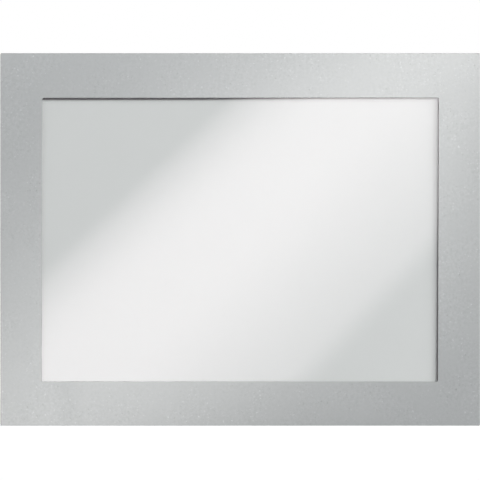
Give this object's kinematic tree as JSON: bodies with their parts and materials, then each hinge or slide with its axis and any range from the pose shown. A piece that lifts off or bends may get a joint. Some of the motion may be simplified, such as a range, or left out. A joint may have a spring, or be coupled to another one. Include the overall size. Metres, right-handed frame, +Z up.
{
  "type": "magnetic display frame",
  "caption": "Slim wall-mounted display frame for one small landscape sheet: a self-adhesive back panel and a silver-bordered clear cover that folds up on a film hinge and closes with magnet strips.",
  "frame": {"origin": "centre of the frame's back, on the plane of the mounting tapes' wall side", "axes": "+Z up, +Y into the wall, so the frame faces -Y, and +X to the right as seen from the front"},
  "size_m": [0.174, 0.0032, 0.1352],
  "materials": {
    "silver_film": "satin metallic print with a fine grain",
    "clear_film": "clear glossy film",
    "magnet_rubber": "matt dark grey flexible magnet",
    "hinge_film": "satin grey film",
    "mounting_tape": "milky adhesive tape",
    "white_paper": "smooth white card"
  },
  "bodies": {
    "back_panel": {"mounting_tape_top": "mounting_tape", "mounting_tape_bottom": "mounting_tape", "mounting_tape_left": "mounting_tape", "mounting_tape_right": "mounting_tape", "back_film": "clear_film", "rear_border": "silver_film", "rear_magnet_top": "magnet_rubber", "rear_magnet_bottom": "magnet_rubber", "rear_magnet_left": "magnet_rubber", "rear_magnet_right": "magnet_rubber", "display_sheet": "white_paper", "hinge_leaf_back": "hinge_film"},
    "cover": {"hinge_leaf_cover": "hinge_film", "cover_magnet_top": "magnet_rubber", "cover_magnet_bottom": "magnet_rubber", "cover_magnet_left": "magnet_rubber", "cover_magnet_right": "magnet_rubber", "window_film": "clear_film", "cover_border": "silver_film"}
  },
  "joints": [
    {"name": "cover_hinge", "type": "hinge", "parent": "back_panel", "child": "cover", "pos_m": [0, -0.00186, 0.06764], "axis": [-1, 0, 0], "range_deg": [0, 180]}
  ]
}
